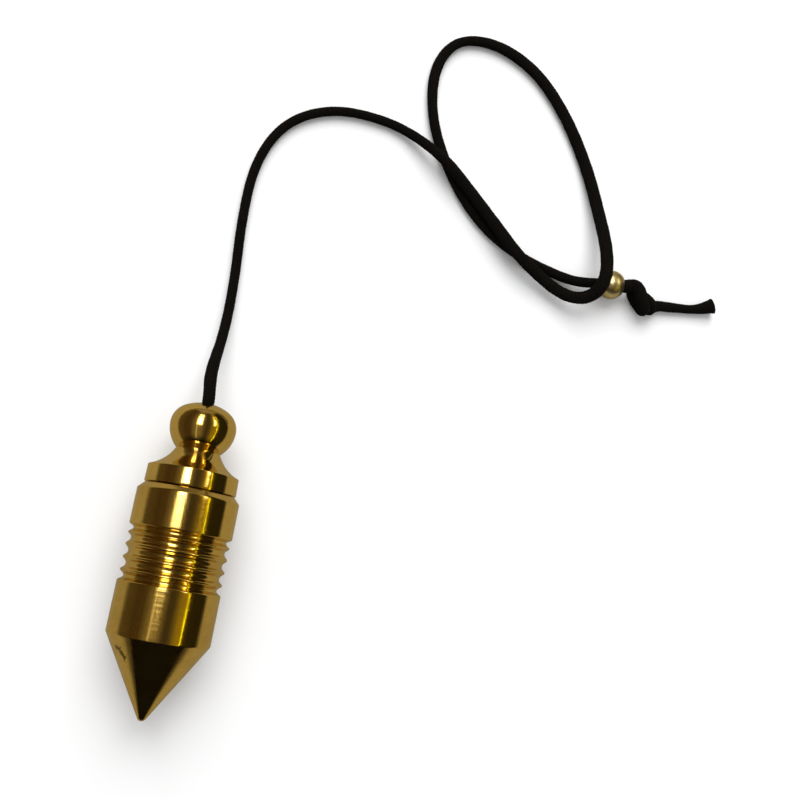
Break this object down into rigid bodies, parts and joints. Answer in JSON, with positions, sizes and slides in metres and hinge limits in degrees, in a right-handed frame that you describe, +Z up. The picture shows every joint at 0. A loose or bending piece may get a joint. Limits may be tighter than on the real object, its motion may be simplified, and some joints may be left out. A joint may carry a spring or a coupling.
{
  "type": "plumb bob",
  "caption": "Small brass plumb bob: pointed barrel with grooved ribs, screw cap with ball top, soft cord through a bead to a knot.",
  "frame": {"origin": "centre of the base of the bob's box, on the table under the middle of the bob", "axes": "+Y along the bob from its point to its ball, +Z up from the table it lies on"},
  "size_m": [0.1132, 0.152, 0.019],
  "materials": {
    "barrel_brass": "turned and polished, lightly worn",
    "cap_brass": "turned and polished",
    "cord": "soft matte cord",
    "bead_metal": "satin, pale gold"
  },
  "bodies": {
    "barrel": {"barrel": "barrel_brass"},
    "line": {"cord_lead": "cord", "stopper_knot": "cord", "end_knot": "cord", "cord_tail": "cord"},
    "cap": {"cap": "cap_brass"},
    "bead": {"bead": "bead_metal"}
  },
  "joints": [
    {"name": "cap_lift", "type": "slide", "parent": "barrel", "child": "line", "axis": [0, 1, 0], "range_m": [0, 0.0075]},
    {"name": "cap_turn", "type": "hinge", "parent": "line", "child": "cap", "pos_m": [0, 0, 0.0095], "axis": [0, 1, 0], "range_deg": [0, 2160]},
    {"name": "bead_spin", "type": "hinge", "parent": "line", "child": "bead", "pos_m": [0.0785, 0.0734, 0.0031], "axis": [0.995, 0.0995, 0], "continuous": true}
  ],
  "couplings": [
    {"joint": "cap_lift", "follows": "cap_turn", "m_per_rad": 0.00019894}
  ]
}
